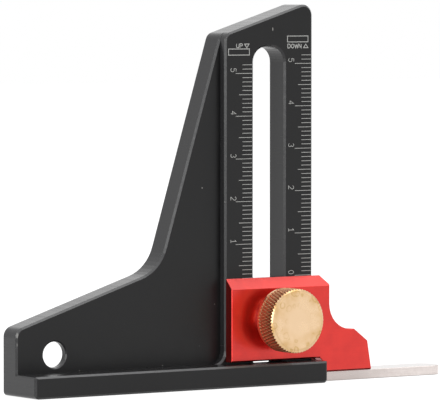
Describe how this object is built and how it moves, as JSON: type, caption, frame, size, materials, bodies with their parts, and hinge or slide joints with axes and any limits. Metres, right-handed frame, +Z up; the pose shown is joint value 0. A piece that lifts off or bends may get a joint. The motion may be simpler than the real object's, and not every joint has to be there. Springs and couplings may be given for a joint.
{
  "type": "depth gauge",
  "caption": "Depth and height gauge: slotted upright with cm scales on a foot, sliding plate with a flat measuring bar, clamped by a knurled knob and T-nut.",
  "frame": {"origin": "on the underside of the foot, halfway along it, in the plane of the scales", "axes": "+X along the foot towards the measuring bar, +Y from the scales to the back, +Z up along the slot"},
  "size_m": [0.118, 0.0199, 0.0891],
  "materials": {
    "black_anodised": "bead-blasted and black anodised, satin, with light grey engraved scales",
    "red_anodised": "fine brushed and red anodised, satin to glossy",
    "stainless": "ground stainless steel",
    "zinc_steel": "bright zinc-plated steel",
    "nickel": "nickel-plated magnet",
    "brass": "turned and knurled brass, lightly tarnished"
  },
  "bodies": {
    "frame": {"gauge_body": "black_anodised", "left_magnet": "nickel", "right_magnet": "nickel"},
    "slider": {"slider_plate": "red_anodised", "measuring_bar": "stainless", "bar_screws": "zinc_steel", "thrust_washer": "zinc_steel"},
    "knob": {"knob_head": "brass", "knob_stud": "zinc_steel"},
    "clamp": {"clamp_nut": "zinc_steel"}
  },
  "joints": [
    {"name": "slider_slide", "type": "slide", "parent": "frame", "child": "slider", "axis": [0, 0, 1], "range_m": [-0.0004, 0.0548]},
    {"name": "knob_turn", "type": "hinge", "parent": "slider", "child": "knob", "pos_m": [0.028, -0.006, 0.01535], "axis": [0, -1, 0], "range_deg": [0, 360]},
    {"name": "clamp_release", "type": "slide", "parent": "slider", "child": "clamp", "axis": [0, 1, 0], "range_m": [0, 0.00071]}
  ],
  "couplings": [
    {"joint": "clamp_release", "follows": "knob_turn", "m_per_rad": 0.00011141}
  ]
}
